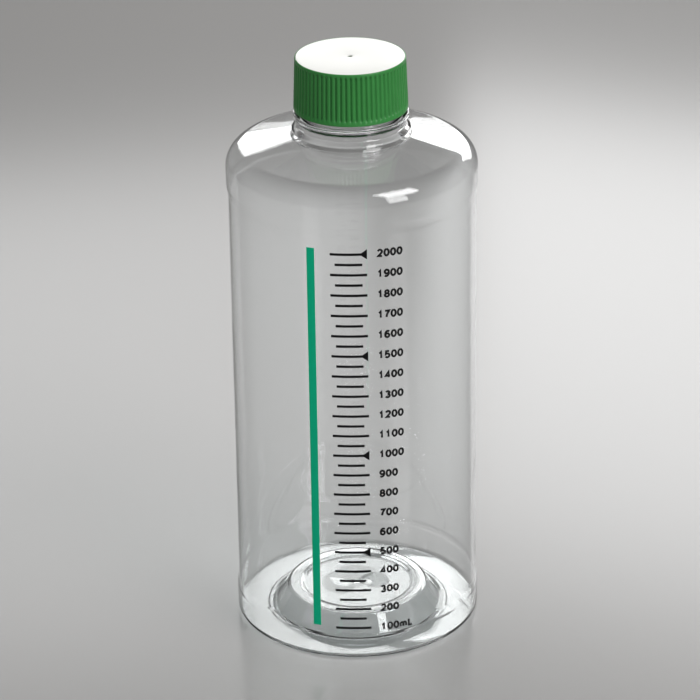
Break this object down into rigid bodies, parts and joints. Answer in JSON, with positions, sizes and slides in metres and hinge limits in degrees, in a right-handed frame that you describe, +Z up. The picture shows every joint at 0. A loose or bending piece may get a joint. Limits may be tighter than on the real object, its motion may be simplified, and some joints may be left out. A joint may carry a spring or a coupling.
{
  "type": "cell culture roller bottle",
  "caption": "Clear cylindrical roller bottle with raised bands, pushed-up base, printed volume scale and a ribbed vented screw cap.",
  "frame": {"origin": "on the floor under the middle of the base, on the bottle's axis", "axes": "+Z up along the bottle's axis to the cap; the printed scale faces -Y"},
  "size_m": [0.1159, 0.1158, 0.28],
  "materials": {
    "clear_polyester": "clear, glossy",
    "green_polypropylene": "semi-gloss moulded",
    "white_polyethylene": "smooth, semi-gloss",
    "vent_membrane": "matt porous film",
    "liner_silicone": "soft, matt"
  },
  "bodies": {
    "bottle": {"bottle": "clear_polyester"},
    "liner": {"sealing_liner": "liner_silicone"},
    "cap": {"cap_shell": "green_polypropylene", "cap_top_disc": "white_polyethylene", "vent_membrane": "vent_membrane"}
  },
  "joints": [
    {"name": "cap_lift", "type": "slide", "parent": "bottle", "child": "liner", "axis": [0, 0, 1], "range_m": [0, 0.0254]},
    {"name": "cap_turn", "type": "hinge", "parent": "liner", "child": "cap", "pos_m": [0, 0, 0.2672], "axis": [0, 0, 1], "range_deg": [0, 2160]}
  ],
  "couplings": [
    {"joint": "cap_lift", "follows": "cap_turn", "m_per_rad": 0.00067323}
  ]
}
